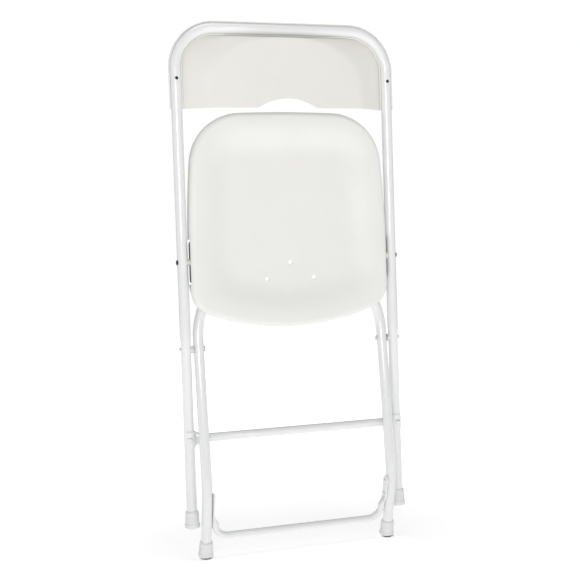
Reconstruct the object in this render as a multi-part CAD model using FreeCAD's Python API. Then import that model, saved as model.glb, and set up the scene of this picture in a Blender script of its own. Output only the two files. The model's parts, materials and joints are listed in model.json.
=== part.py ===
import FreeCAD
import Part
import math
import os

# Folding chair, folded and upright.  Millimetres, +Z up, the sitter's front is -Y, +X is the sitter's left.
# Everything is drawn in the front frame's plane (y = 0) with z = 0 at the soles of the front feet,
# and moved at the end so that the lowest point stands at z = 0 below the middle of the whole.

# ---- driving dimensions ----------------------------------------------------------------------------
# front frame: one tube bent into a hoop, whose legs are the front legs
tube_d = 20.0                # outer diameter of both leg tubes
tube_wall = 1.5
frame_half = 209.5           # from the middle of the chair to the axis of a front leg
hoop_bend_r = 76.0
leg_pivot_z = 336.0
pivot_rise = 163.0           # from the leg pivot up to the seat pivot
crossbar_z = 168.0
crossbar_d = 16.0
crossbar_neck = 16.0         # length over which the bar's end flattens towards the leg
crossbar_flat_half = 2.2     # half the thickness of the flattened end
saddle_thick = 2.6           # the end of the bar that wraps the leg
saddle_high = 28.0
saddle_from = -35.0          # degrees round the leg from the side that faces the bar
saddle_to = 128.0

# rear frame: a second hoop inside the first, turning on the leg pivots
leg_gap = 4.6                # free space between a front and a rear leg, side by side
rest_gap = 0.435             # between a folded rear leg and the crossbar, which sets the folded lean
knee_drop = 272.0            # from the leg pivot down to the knee
knee_turn = 22.0             # degrees
knee_bend_r = 150.0
shin_length = 129.0          # from the knee to the sole
shoulder_rise = 43.0         # from the leg pivot up to where the legs turn inwards
shoulder_turn = 20.0         # degrees
shoulder_bend_r = 165.0
slide_bar_rise = 207.0       # from the leg pivot up to the bar that slides under the seat
slide_bar_bend_r = 45.0
brace_d = 13.0
brace_rise = 40.0            # from the sole up to the brace's bar, along the shin
brace_bend_r = 26.0
brace_neck = 16.0            # length over which the round end becomes a flat strip
brace_strip_top = 130.0      # from the sole up to the top of the flattened end
brace_rivet_drops = (10.0, 38.0)
strip_thick = 3.0
strip_wide = 16.0

# feet
foot_wall = 2.8
foot_flare = 1.5             # how far the foot's lowest part stands out
foot_flare_high = 7.0
foot_flare_taper = 4.0
foot_chamfer = 2.5
foot_top_wall = 1.5
foot_top_taper = 6.0
foot_high = 32.0
foot_floor = 6.0             # solid plastic below the tube's end

# back panel
panel_high = 150.5           # from the panel's lower edge to the axis of the hoop's top bar
panel_seat_gap = 6.0         # from the folded seat's front edge up to the panel
panel_wall = 2.8
panel_band_wall = 1.5        # added across the steep edges, where the front-to-back wall is thin
tube_seat_gap = 0.2          # between the panel's channel and the tube
panel_lip = 1.5              # how far the channel reaches past the tube's middle
panel_bulge = 27.0           # how far the middle of the panel stands behind the frame's plane
panel_bulge_side = 15.0      # the same where the panel meets its sloping side
panel_crease_inset = 60.0    # from a front leg's axis to the panel's crease
panel_root_y = -4.0          # where the sloping sides leave the channel
panel_root_inset = 0.8       # how far inside the channel's wall they start
panel_top_run = 9.0          # width of the sloping band under the top bar
panel_corner_growth = 1.3    # how fast the corner radius grows towards the face
grip_half = 58.0             # hand hold in the lower edge
grip_high = 17.5
panel_screw_drop = 19.5      # from where the hoop's bend starts down to the screw

# seat
seat_frame_gap = 2.5         # between the seat's side and a front leg
seat_front = 279.0           # from the seat pivot to the front edge
seat_rear = 129.0            # from the seat pivot to the rear edge
seat_rear_corner_r = 49.9
seat_rear_turn = 20.0        # degrees, half of the rear edge's curve
seat_side_r = 1900.0
seat_side_turn = 5.1         # degrees
seat_corner_r = 100.0
seat_front_turn = 2.0        # degrees, half of the front edge's slight curve
seat_crest_y = 15.0          # top of the rolled rim
seat_roll_r = 10.0
seat_skirt = 24.0            # depth of the edge at the sides and front
seat_wall = 3.0
dish_rim = 22.0              # from the outline to the edge of the dish
dish_slope = 44.0            # width of the dish's sloping side
dish_corner_r = 43.2         # rear corners of the dish's floor
drain_d = 8.0
drain_side_x = 47.0
drain_side_v = -37.0
drain_mid_v = -7.0

# seat brackets, rails and ribs; a place called v is measured from the seat pivot towards the front edge
bracket_long = 76.0
bracket_thick = 2.0
flange_wide = 17.5
flange_drop = 8.0            # from the rim's top down to the flange
bracket_screw_inset = 10.5
bracket_screw_v = 27.0
bracket_screw_long = 6.5
bracket_inset = 5.5          # from the seat's side in to the bracket's leaf
notch_long = 84.0            # gap in the seat's edge that the bracket stands in
rail_inset = 55.2            # from the slide bar's corner to the middle of a rail
rail_wide = 16.0
rail_thick = 2.0
rail_start_v = 26.0
rail_end_inset = 29.0        # from the seat's front edge back to the rail's end
rail_screw_insets = (34.0, 45.0)   # from the rail's rear end and from its front end
rail_screw_long = 4.2
rib_wide = 12.0
stop_high = 12.0
cross_rib_insets = (39.0, 109.0, 179.0)    # from the seat's front edge
cross_rib_thick = 2.4
cross_rib_lift = 2.0         # from the long ribs' lower edge up to that of the cross ribs
rear_skirt_cut = 10.2        # from the rim's top down to where the rear edge ends
rear_skirt_gap = 11.0        # from the notch to where the edge becomes shallow

# fasteners and clearances
rivet_d = 6.0
rivet_head_d = 10.0
rivet_head_high = 2.0
rivet_head_sink = 1.4        # how far a head is drawn down round the tube
small_rivet_d = 5.0
small_rivet_head_d = 9.0
small_rivet_head_high = 2.0
brace_rivet_head_high = 1.8
rivet_tail = 1.5             # how far a small rivet reaches past the tube's wall
screw_d = 3.6
screw_head_d = 7.0
screw_head_high = 2.0
screw_tip_gap = 0.2          # between a screw's point and the end of its hole
sink_share = 0.8             # of a rail's thickness, the depth of its countersinks
panel_screw_sink = 0.4
panel_screw_skin = 1.0       # panel wall left in front of the screw's point
spacer_d = 13.0
spacer_reach = 3.0           # how far the spacer's blank reaches over the leg that it is shaped to
leg_washer_d = 15.0
leg_washer_thick = 1.0
run_gap = 0.06               # radial play of a pin in a moving part
side_gap = 0.3               # play beside a moving part
fixed_gap = 0.02             # play of a fastener or a pressed end in a fixed part
slide_gap = 0.4              # between the folded slide bar and the rails
dish_gap = 0.3               # from the level of the rails' seats up to the dish's underside
past = 1.0                   # how far a cutting tool runs past what it cuts

# ---- derived values --------------------------------------------------------------------------------
tube_r = tube_d / 2
bore_r = tube_r - tube_wall
frame_inner = frame_half - tube_r
frame_outer = frame_half + tube_r
seat_half = frame_inner - seat_frame_gap
seat_pivot_z = leg_pivot_z + pivot_rise
panel_low_z = seat_pivot_z + seat_front + panel_seat_gap
hoop_axis_z = panel_low_z + panel_high
panel_screw_z = hoop_axis_z - hoop_bend_r - panel_screw_drop
panel_screw_reach = tube_r + tube_seat_gap + panel_wall - panel_screw_skin
panel_crease_x = frame_half - panel_crease_inset
rear_half = frame_inner - leg_gap - tube_r
rear_lean = math.degrees(math.asin((tube_r + crossbar_d / 2 + rest_gap) / (leg_pivot_z - crossbar_z)))
slide_corner_x = rear_half - (slide_bar_rise - shoulder_rise) * math.tan(math.radians(shoulder_turn))
slide_offset = slide_bar_rise * math.sin(math.radians(rear_lean))
rail_x = slide_corner_x - rail_inset
rail_face_y = -(slide_offset - tube_r - slide_gap)
rib_low_y = rail_face_y + rail_thick
rail_end_v = seat_front - rail_end_inset
rail_screw_vs = (rail_start_v + rail_screw_insets[0], rail_end_v - rail_screw_insets[1])
dish_floor_y = rib_low_y + seat_wall + dish_gap
dish_depth = seat_crest_y - dish_floor_y
skirt_low_y = seat_crest_y - seat_skirt
bracket_outer_x = seat_half - bracket_inset
bracket_inner_x = bracket_outer_x - bracket_thick
bracket_screw_x = bracket_outer_x - bracket_screw_inset
flange_inner_x = bracket_outer_x - flange_wide
flange_y = seat_crest_y - flange_drop
seat_rivet_inner_x = bracket_inner_x - side_gap
leg_rivet_inner_x = rear_half - tube_r - side_gap
leg_washer_x = rear_half + tube_r + side_gap
brace_rivet_ups = [brace_strip_top - drop for drop in brace_rivet_drops]
sides = (("left", 1), ("right", -1))

X = FreeCAD.Vector(1, 0, 0)
Y = FreeCAD.Vector(0, 1, 0)
Z = FreeCAD.Vector(0, 0, 1)


def vec(x, y, z):
    return FreeCAD.Vector(x, y, z)


def rod(radius, start, end):
    """A cylinder from one point to another."""
    return Part.makeCylinder(radius, (end - start).Length, start, end - start)


def block(x0, x1, y0, y1, z0, z1):
    low = vec(min(x0, x1), min(y0, y1), min(z0, z1))
    return Part.makeBox(abs(x1 - x0), abs(y1 - y0), abs(z1 - z0), low)


def mirrored(shape):
    return shape.mirror(vec(0, 0, 0), X)


def on_side(shape, side):
    """Everything is drawn at +X; the other side is its mirror image."""
    return shape if side > 0 else mirrored(shape)


def rounded_path(points, radii):
    """Straight runs joined by tangent arcs; one radius for each inner point."""
    edges = []
    start = points[0]
    for i in range(1, len(points) - 1):
        corner = points[i]
        back = (points[i - 1] - corner).normalize()
        ahead = (points[i + 1] - corner).normalize()
        half = back.getAngle(ahead) / 2
        reach = radii[i - 1] / math.tan(half)
        bisector = (back + ahead).normalize()
        middle = corner + bisector * (radii[i - 1] / math.sin(half) - radii[i - 1])
        first = corner + back * reach
        last = corner + ahead * reach
        edges.append(Part.LineSegment(start, first).toShape())
        edges.append(Part.Arc(first, middle, last).toShape())
        start = last
    edges.append(Part.LineSegment(start, points[-1]).toShape())
    return Part.Wire(edges)


def swept_rod(path, radius):
    start = path.Edges[0].firstVertex().Point
    along = path.Edges[0].tangentAt(path.Edges[0].FirstParameter)
    ring = Part.Wire(Part.makeCircle(radius, start, along))
    return path.makePipeShell([ring], True, False)


def swept_tube(points, radii, outer_r, inner_r):
    path = rounded_path(points, radii)
    return swept_rod(path, outer_r).cut(swept_rod(path, inner_r))


def both_sides(half):
    """A list of points at +X followed by its mirror image, as one run."""
    return half + [vec(-p.x, p.y, p.z) for p in reversed(half)]


# ---- front frame -----------------------------------------------------------------------------------
def front_frame_tube():
    half = [vec(frame_half, 0, foot_floor), vec(frame_half, 0, hoop_axis_z)]
    tube = swept_tube(both_sides(half), [hoop_bend_r] * 2, tube_r, bore_r)
    holes = []
    for _, side in sides:
        for z in (seat_pivot_z, leg_pivot_z):
            holes.append(rod(rivet_d / 2 + fixed_gap, vec(side * (frame_inner - past), 0, z),
                             vec(side * (frame_outer + past), 0, z)))
        holes.append(rod(small_rivet_d / 2 + fixed_gap, vec(side * frame_half, 0, crossbar_z),
                         vec(side * frame_half, tube_r + past, crossbar_z)))
        holes.append(rod(screw_d / 2 + fixed_gap, vec(side * frame_half, -tube_r - past, panel_screw_z),
                         vec(side * frame_half, tube_r + past, panel_screw_z)))
    return tube.cut(holes)


def crossbar_saddle():
    """The flattened end that wraps a front leg, drawn at +X."""
    inner_r = tube_r + fixed_gap
    outer_r = tube_r + saddle_thick
    low = crossbar_z - saddle_high / 2
    ring = rod(outer_r, vec(0, 0, low), vec(0, 0, low + saddle_high))
    ring = ring.cut(rod(inner_r, vec(0, 0, low - past), vec(0, 0, low + saddle_high + past)))
    sweep = math.radians(saddle_to - saddle_from)
    reach = outer_r * 3
    points = [vec(0, 0, low - past)]
    steps = 4
    for i in range(steps + 1):
        angle = math.radians(saddle_from) + sweep * i / steps
        points.append(vec(-reach * math.cos(angle), reach * math.sin(angle), low - past))
    points.append(points[0])
    wedge = Part.Face(Part.makePolygon(points)).extrude(vec(0, 0, saddle_high + 2 * past))
    sector = ring.common(wedge)
    sector.translate(vec(frame_half, 0, 0))
    return sector


def front_crossbar():
    bar_r = crossbar_d / 2
    neck_x = frame_inner - crossbar_neck
    end_x = frame_inner - saddle_thick / 3
    plug_x = neck_x - tube_wall
    bar = rod(bar_r, vec(-neck_x, 0, crossbar_z), vec(neck_x, 0, crossbar_z))
    bar = bar.cut(rod(bar_r - tube_wall, vec(-plug_x, 0, crossbar_z), vec(plug_x, 0, crossbar_z)))
    round_end = Part.Wire(Part.makeCircle(bar_r, vec(neck_x, 0, crossbar_z), X))
    oval = Part.Ellipse(vec(end_x, 0, crossbar_z + saddle_high / 2 - past / 2),
                        vec(end_x, crossbar_flat_half, crossbar_z), vec(end_x, 0, crossbar_z))
    flat_end = Part.Wire(oval.toShape())
    neck = Part.makeLoft([round_end, flat_end], True)
    neck = neck.cut(rod(tube_r + fixed_gap, vec(frame_half, 0, 0), vec(frame_half, 0, hoop_axis_z)))
    left_end = neck.fuse(crossbar_saddle())
    rivet_hole = rod(small_rivet_d / 2 + fixed_gap, vec(frame_half, 0, crossbar_z),
                     vec(frame_half, tube_r * 2, crossbar_z))
    left_end = left_end.cut(rivet_hole)
    return bar.fuse([left_end, mirrored(left_end)]).removeSplitter()


def dome_rivet(seat_point, direction, shaft_d, head_d, head_high, length):
    """A rivet whose head rests at seat_point and whose shaft runs along direction."""
    head = Part.makeCylinder(head_d / 2, head_high, seat_point, direction * -1)
    far_point = seat_point - direction * head_high
    far_edges = [e for e in head.Edges if abs((e.CenterOfMass - far_point).dot(direction)) < fixed_gap]
    head = head.makeFillet(head_high * 0.7, far_edges)
    return head.fuse(Part.makeCylinder(shaft_d / 2, length, seat_point, direction)).removeSplitter()


def crossbar_rivets():
    solids = []
    for _, side in sides:
        seat_point = vec(side * frame_half, tube_r + saddle_thick, crossbar_z)
        rivet = dome_rivet(seat_point, Y * -1, small_rivet_d, small_rivet_head_d, small_rivet_head_high,
                           saddle_thick + tube_wall + rivet_tail)
        solids.append(rivet)
    return Part.makeCompound(solids)


def foot():
    """A push-on foot round a tube that points up from the sole at the origin."""
    foot_r = tube_r + foot_wall
    flare_r = foot_r + foot_flare
    bore = tube_r + fixed_gap
    profile = [
        vec(0, 0, 0), vec(flare_r - foot_chamfer, 0, 0), vec(flare_r, 0, foot_chamfer),
        vec(flare_r, 0, foot_flare_high), vec(foot_r, 0, foot_flare_high + foot_flare_taper),
        vec(foot_r, 0, foot_high - foot_top_taper), vec(tube_r + foot_top_wall, 0, foot_high),
        vec(bore, 0, foot_high), vec(bore, 0, foot_floor), vec(0, 0, foot_floor), vec(0, 0, 0)]
    return Part.Face(Part.makePolygon(profile)).revolve(vec(0, 0, 0), Z, 360)


def front_foot(side):
    cap = foot()
    cap.translate(vec(side * frame_half, 0, 0))
    return cap


# ---- pivots ----------------------------------------------------------------------------------------
def leg_cylinder(radius):
    return rod(radius, vec(frame_half, 0, foot_high), vec(frame_half, 0, hoop_axis_z - hoop_bend_r))


def pivot_rivet(z, inner_x):
    """Runs from the outside of a front leg to a head at inner_x, drawn at +X."""
    drawn_x = frame_outer - rivet_head_sink
    head = dome_rivet(vec(drawn_x, 0, z), X * -1, rivet_d, rivet_head_d, rivet_head_high + rivet_head_sink,
                      drawn_x - inner_x)
    leg_wall = leg_cylinder(tube_r).cut(leg_cylinder(bore_r))
    head = head.cut(leg_wall.cut(rod(rivet_d / 2, vec(inner_x, 0, z), vec(frame_outer + past, 0, z))))
    inner_head = Part.makeCylinder(rivet_head_d / 2, rivet_head_high, vec(inner_x, 0, z), X * -1)
    return head.fuse(inner_head).removeSplitter()


def pivot_ring(outer_d, from_x, to_x, z):
    """A spacer or washer between a front leg and its neighbour, shaped to the leg where it touches it."""
    ring = rod(outer_d / 2, vec(to_x, 0, z), vec(from_x, 0, z))
    ring = ring.cut(rod(rivet_d / 2 + fixed_gap, vec(to_x - past, 0, z), vec(from_x + past, 0, z)))
    return ring.cut(leg_cylinder(tube_r))


def seat_pivot_spacer():
    return pivot_ring(spacer_d, frame_inner + spacer_reach, bracket_outer_x + side_gap, seat_pivot_z)


def leg_pivot_spacer():
    return pivot_ring(spacer_d, frame_inner + spacer_reach, leg_washer_x + leg_washer_thick, leg_pivot_z)


def leg_pivot_washer():
    return pivot_ring(leg_washer_d, leg_washer_x + leg_washer_thick, leg_washer_x, leg_pivot_z)


# ---- back panel ------------------------------------------------------------------------------------
def panel_channel():
    """The half-round channel, open to the rear, that the panel grips the hoop with."""
    half = [vec(frame_half, 0, panel_low_z), vec(frame_half, 0, hoop_axis_z)]
    path = rounded_path(both_sides(half), [hoop_bend_r] * 2)
    r_in = tube_r + tube_seat_gap
    r_out = r_in + panel_wall
    c = half[0]
    edges = [
        Part.Arc(c + X * r_out, c - Y * r_out, c - X * r_out).toShape(),
        Part.LineSegment(c - X * r_out, c - X * r_out + Y * panel_lip).toShape(),
        Part.LineSegment(c - X * r_out + Y * panel_lip, c - X * r_in + Y * panel_lip).toShape(),
        Part.LineSegment(c - X * r_in + Y * panel_lip, c - X * r_in).toShape(),
        Part.Arc(c - X * r_in, c - Y * r_in, c + X * r_in).toShape(),
        Part.LineSegment(c + X * r_in, c + X * r_in + Y * panel_lip).toShape(),
        Part.LineSegment(c + X * r_in + Y * panel_lip, c + X * r_out + Y * panel_lip).toShape(),
        Part.LineSegment(c + X * r_out + Y * panel_lip, c + X * r_out).toShape()]
    return path.makePipeShell([Part.Wire(edges)], True, False)


def panel_outline(y, side_inset, top_inset, corner_r):
    """An arch-shaped loop inside the hoop, reaching below the panel so that the lower edge can be cut."""
    x = frame_half - side_inset
    top = hoop_axis_z - top_inset
    low = panel_low_z - panel_high / 5
    k = corner_r * (1 - math.sqrt(0.5))
    points = [vec(-x, y, low), vec(x, y, low), vec(x, y, top - corner_r), vec(x - corner_r, y, top),
              vec(-x + corner_r, y, top), vec(-x, y, top - corner_r)]
    edges = [
        Part.LineSegment(points[0], points[1]).toShape(),
        Part.LineSegment(points[1], points[2]).toShape(),
        Part.Arc(points[2], vec(x - k, y, top - k), points[3]).toShape(),
        Part.LineSegment(points[3], points[4]).toShape(),
        Part.Arc(points[4], vec(-x + k, y, top - k), points[5]).toShape(),
        Part.LineSegment(points[5], points[0]).toShape()]
    return Part.Wire(edges)


def panel_bulge_solid(shift, root_y, more_inset):
    """The space behind the panel's face: a tapered block with a gently curved rear face."""
    inset = tube_r + tube_seat_gap + panel_root_inset
    start = inset + more_inset
    side_slope = (frame_half - inset - panel_crease_x) / (panel_bulge_side - panel_root_y)
    top_slope = panel_top_run / (panel_bulge - panel_root_y)
    far_y = panel_bulge + 2 * past
    corner = hoop_bend_r - inset

    def ring(y):
        rise = y - panel_root_y
        return panel_outline(y + shift, start + side_slope * rise, start + top_slope * rise,
                             corner + rise * panel_corner_growth)

    block_solid = Part.makeLoft([ring(root_y), ring(far_y)], True, True)
    reach = frame_half
    side_y = panel_bulge - (panel_bulge - panel_bulge_side) * (reach / panel_crease_x) ** 2
    low = panel_low_z - panel_high / 4
    curve = Part.Arc(vec(-reach, side_y + shift, low), vec(0, panel_bulge + shift, low),
                     vec(reach, side_y + shift, low)).toShape()
    front_y = root_y + shift - tube_r
    closing = Part.makePolygon([vec(reach, side_y + shift, low), vec(reach, front_y, low),
                                vec(-reach, front_y, low), vec(-reach, side_y + shift, low)])
    envelope = Part.Face(Part.Wire([curve] + closing.Edges)).extrude(Z * (hoop_axis_z - low))
    return block_solid.common(envelope)


def back_panel():
    outer = panel_bulge_solid(0, panel_root_y, 0)
    inner = panel_bulge_solid(-panel_wall, panel_root_y - 2 * panel_wall, panel_band_wall)
    shell = outer.cut(inner)
    panel = panel_channel().fuse(shell)
    reach = 2 * (panel_bulge + tube_r + panel_wall)
    bottom = block(-2 * frame_half, 2 * frame_half, -reach, reach, panel_low_z - panel_high / 2, panel_low_z)
    arc = Part.Arc(vec(-grip_half, -reach, panel_low_z), vec(0, -reach, panel_low_z + grip_high),
                   vec(grip_half, -reach, panel_low_z)).toShape()
    low = panel_low_z - past
    chord = Part.makePolygon([vec(grip_half, -reach, panel_low_z), vec(grip_half, -reach, low),
                              vec(-grip_half, -reach, low), vec(-grip_half, -reach, panel_low_z)])
    grip = Part.Face(Part.Wire([arc] + chord.Edges)).extrude(Y * 2 * reach)
    cuts = [bottom, grip]
    for _, side in sides:
        start = vec(side * frame_half, 0, panel_screw_z)
        cuts.append(rod(screw_d / 2 + fixed_gap, start, start - Y * panel_screw_reach))
    return panel.cut(cuts).removeSplitter()


def panel_screws():
    solids = []
    for _, side in sides:
        seat_y = tube_r - panel_screw_sink
        seat_point = vec(side * frame_half, seat_y, panel_screw_z)
        screw = dome_rivet(seat_point, Y * -1, screw_d, screw_head_d, screw_head_high,
                           seat_y + panel_screw_reach)
        middle = seat_point - Y * seat_y
        tube = rod(tube_r, middle - Z * screw_head_d, middle + Z * screw_head_d)
        shaft = rod(screw_d / 2, seat_point + Y, seat_point - Y * tube_d * 2)
        solids.append(screw.cut(tube.cut(shaft)))
    return Part.makeCompound(solids)


# ---- rear frame ------------------------------------------------------------------------------------
def to_rear(shape):
    """From the rear frame's own place, pivot at the origin and legs upright, to where it is folded."""
    shape.rotate(vec(0, 0, 0), X, rear_lean)
    shape.translate(vec(0, 0, leg_pivot_z))
    return shape


def shin_point(up):
    """A point on the shin's axis at +X, a distance up from the sole, in the rear frame's own place."""
    turn = math.radians(knee_turn)
    down = shin_length - up
    return vec(rear_half, -down * math.sin(turn), -knee_drop - down * math.cos(turn))


def along_shin(shape):
    """From a part drawn upright on the sole at the origin to its place on the left shin."""
    shape.rotate(vec(0, 0, 0), X, -knee_turn)
    shape.translate(shin_point(0))
    return to_rear(shape)


def rear_leg_tube():
    half = [shin_point(foot_floor), vec(rear_half, 0, -knee_drop), vec(rear_half, 0, shoulder_rise),
            vec(slide_corner_x, 0, slide_bar_rise)]
    bends = [knee_bend_r, shoulder_bend_r, slide_bar_bend_r]
    tube = swept_tube(both_sides(half), bends + bends[::-1], tube_r, bore_r)
    holes = []
    for _, side in sides:
        holes.append(rod(rivet_d / 2 + run_gap, vec(side * (rear_half - tube_r - past), 0, 0),
                         vec(side * (rear_half + tube_r + past), 0, 0)))
        for up in brace_rivet_ups:
            centre = shin_point(up)
            centre.x = centre.x * side
            holes.append(rod(small_rivet_d / 2 + fixed_gap, centre, centre - X * side * (tube_r + past)))
    return to_rear(tube.cut(holes))


def rear_brace():
    """U-shaped brace between the shins, with flattened ends against their inner sides."""
    r = brace_d / 2
    round_x = rear_half - tube_r - 5 * fixed_gap - r
    strip_x = rear_half - tube_r - fixed_gap - strip_thick / 2
    round_top = brace_rise + brace_bend_r + strip_thick
    half = [vec(round_x, 0, round_top), vec(round_x, 0, brace_rise)]
    path = rounded_path(both_sides(half), [brace_bend_r] * 2)
    bar = swept_rod(path, r).cut(swept_rod(path, r - tube_wall))
    flat_z = round_top + brace_neck
    ring = Part.Wire(Part.makeCircle(r, vec(round_x, 0, round_top), Z))
    oval = Part.Ellipse(vec(strip_x, strip_wide / 2, flat_z), vec(strip_x + strip_thick / 2, 0, flat_z),
                        vec(strip_x, 0, flat_z))
    neck = Part.makeLoft([ring, Part.Wire(oval.toShape())], True)
    strip = block(strip_x - strip_thick / 2, strip_x + strip_thick / 2, -strip_wide / 2, strip_wide / 2,
                  flat_z - strip_thick, brace_strip_top)
    corners = [e for e in strip.Edges if e.Length < strip_thick + fixed_gap and e.CenterOfMass.z > flat_z]
    end = neck.fuse(strip.makeFillet(strip_wide * 0.45, corners))
    for up in brace_rivet_ups:
        end = end.cut(rod(small_rivet_d / 2 + fixed_gap, vec(strip_x + strip_thick, 0, up),
                          vec(strip_x - strip_thick, 0, up)))
    brace = bar.fuse([end, mirrored(end)])
    foot_middle = shin_point(0)
    brace.rotate(vec(0, 0, 0), X, -knee_turn)
    brace.translate(vec(0, foot_middle.y, foot_middle.z))
    return to_rear(brace)


def brace_rivets():
    solids = []
    for _, side in sides:
        for up in brace_rivet_ups:
            seat_x = rear_half - tube_r - fixed_gap - strip_thick
            rivet = dome_rivet(vec(seat_x, 0, up), X, small_rivet_d, small_rivet_head_d,
                               brace_rivet_head_high, strip_thick + tube_wall + rivet_tail)
            rivet.translate(vec(-rear_half, 0, 0))
            rivet = along_shin(rivet)
            solids.append(on_side(rivet, side))
    return Part.makeCompound(solids)


def rear_foot(side):
    return on_side(along_shin(foot()), side)


# ---- seat ------------------------------------------------------------------------------------------
def seat_wire(y, inset, rear_corner):
    """The seat's outline at height y of its thickness, drawn inset by a margin all round.

    Arcs run tangent to one another: rear edge, rear corner, side, front corner, front edge."""
    turn1 = math.radians(seat_rear_turn)
    turn2 = math.radians(seat_side_turn)
    turn3 = math.radians(seat_front_turn)
    half_x = seat_half - inset
    corner_r = seat_corner_r - inset
    rear_r = (half_x - rear_corner * (1 - math.sin(turn1))) / math.sin(turn1)
    rear_c_v = inset - seat_rear + rear_r
    corner_c_v = rear_c_v - (rear_r - rear_corner) * math.cos(turn1)
    front_c_x = half_x - seat_side_r * (1 - math.cos(turn2)) - corner_r * math.cos(turn2)
    front_r = (front_c_x + corner_r * math.sin(turn3)) / math.sin(turn3)
    front_c_v = seat_front - inset - front_r * (1 - math.cos(turn3)) - corner_r * math.cos(turn3)
    side_c_v = front_c_v + corner_r * math.sin(turn2) - seat_side_r * math.sin(turn2)

    def arc_point(cx, cv, radius, angle):
        return vec(cx + radius * math.cos(angle), y, seat_pivot_z + cv + radius * math.sin(angle))

    quarter = math.pi / 2
    pieces = [
        (0, rear_c_v, rear_r, -quarter, -quarter + turn1),
        (half_x - rear_corner, corner_c_v, rear_corner, -quarter + turn1, 0),
        (half_x - seat_side_r, side_c_v, seat_side_r, 0, turn2),
        (front_c_x, front_c_v, corner_r, turn2, quarter - turn3),
        (0, seat_front - inset - front_r, front_r, quarter - turn3, quarter)]
    half = []
    for cx, cv, radius, a0, a1 in pieces:
        start = arc_point(cx, cv, radius, a0)
        middle = arc_point(cx, cv, radius, (a0 + a1) / 2)
        end = arc_point(cx, cv, radius, a1)
        if half and (start - half[-1][2]).Length > fixed_gap:
            half.append((half[-1][2], None, start))
        half.append((start, middle, end))
    edges = []
    for flip in (1, -1):
        for start, middle, end in half:
            s = vec(start.x * flip, start.y, start.z)
            e = vec(end.x * flip, end.y, end.z)
            if middle is None:
                edges.append(Part.LineSegment(s, e).toShape())
            else:
                edges.append(Part.Arc(s, vec(middle.x * flip, middle.y, middle.z), e).toShape())
    return Part.Wire(Part.__sortEdges__(edges))


def seat_slab(inset, low_y, high_y, roll_r):
    """The seat's outline as a solid slab with a rolled upper edge."""
    slab = Part.Face(seat_wire(low_y, inset, seat_rear_corner_r - inset)).extrude(Y * (high_y - low_y))
    top = [e for e in slab.Edges if e.BoundBox.YMin > high_y - 0.01]
    return slab.makeFillet(roll_r, top)


def dish_solid(drop):
    """The hollow that the seat's upper face is dished by, lowered by drop to give its underside."""
    over = 2 * seat_wall
    slope = dish_slope / dish_depth
    rim_inset = dish_rim - over * slope
    top = seat_wire(seat_crest_y + over - drop, rim_inset, seat_rear_corner_r - rim_inset)
    floor = seat_wire(dish_floor_y - drop, dish_rim + dish_slope, dish_corner_r)
    return Part.makeLoft([top, floor], True, True)


def seat_ribs(inside):
    """Long ribs that carry the rails, and thin cross ribs, trimmed to the space under the seat."""
    front_v = seat_front - seat_wall
    ribs = []
    for _, side in sides:
        ribs.append(block(side * rail_x - rib_wide / 2, side * rail_x + rib_wide / 2, rib_low_y, seat_crest_y,
                          seat_pivot_z + rail_start_v, seat_pivot_z + front_v))
    for inset in cross_rib_insets:
        z = seat_pivot_z + seat_front - inset
        ribs.append(block(-seat_half, seat_half, rib_low_y + cross_rib_lift, seat_crest_y,
                          z, z + cross_rib_thick))
    return [rib.common(inside) for rib in ribs]


def seat_notch():
    """Gap in each side of the seat's edge, in which the bracket stands, drawn at +X."""
    return block(bracket_outer_x, seat_half + past, skirt_low_y - past, flange_y + bracket_thick,
                 seat_pivot_z - notch_long / 2, seat_pivot_z + notch_long / 2)


def seat_under(low_y):
    """The space that the shell leaves open below."""
    return seat_slab(seat_wall, low_y, seat_crest_y - seat_wall, seat_roll_r - seat_wall)


def rear_skirt():
    """The lower part of the edge, which is left off behind the brackets."""
    rear_low = seat_pivot_z - seat_rear - past
    rear_high = seat_pivot_z - notch_long / 2 - rear_skirt_gap
    zone = block(-seat_half - past, seat_half + past, skirt_low_y - past, seat_crest_y - rear_skirt_cut,
                 rear_low, rear_high)
    within = seat_slab(seat_wall + seat_roll_r, skirt_low_y - 2 * past, seat_crest_y, past)
    return zone.cut(within)


def seat_shell():
    outer = seat_slab(0, skirt_low_y, seat_crest_y, seat_roll_r).cut(dish_solid(0))
    inner = seat_under(rib_low_y - seat_skirt).cut(dish_solid(seat_wall))
    thick = []
    cuts = []
    for _, side in sides:
        pad = block(flange_inner_x, seat_half, flange_y + bracket_thick, seat_crest_y,
                    seat_pivot_z - notch_long / 2 - seat_wall, seat_pivot_z + notch_long / 2 + seat_wall)
        thick.append(on_side(pad, side).common(inner))
        cuts.append(on_side(seat_notch(), side))
        for v in (-bracket_screw_v, bracket_screw_v):
            start = vec(side * bracket_screw_x, flange_y, seat_pivot_z + v)
            cuts.append(rod(screw_d / 2 + fixed_gap, start, start + Y * bracket_screw_long))
        for v in rail_screw_vs:
            start = vec(side * rail_x, rail_face_y, seat_pivot_z + v)
            cuts.append(rod(screw_d / 2 + fixed_gap, start, start + Y * rail_screw_long))
    shell = outer.cut(inner).fuse(thick + seat_ribs(inner))
    cuts.append(rear_skirt())
    for x, v in ((drain_side_x, drain_side_v), (-drain_side_x, drain_side_v), (0, drain_mid_v)):
        middle = vec(x, dish_floor_y, seat_pivot_z + v)
        cuts.append(rod(drain_d / 2, middle - Y * seat_skirt, middle + Y * seat_skirt))
    return shell.cut(cuts).removeSplitter()


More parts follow.
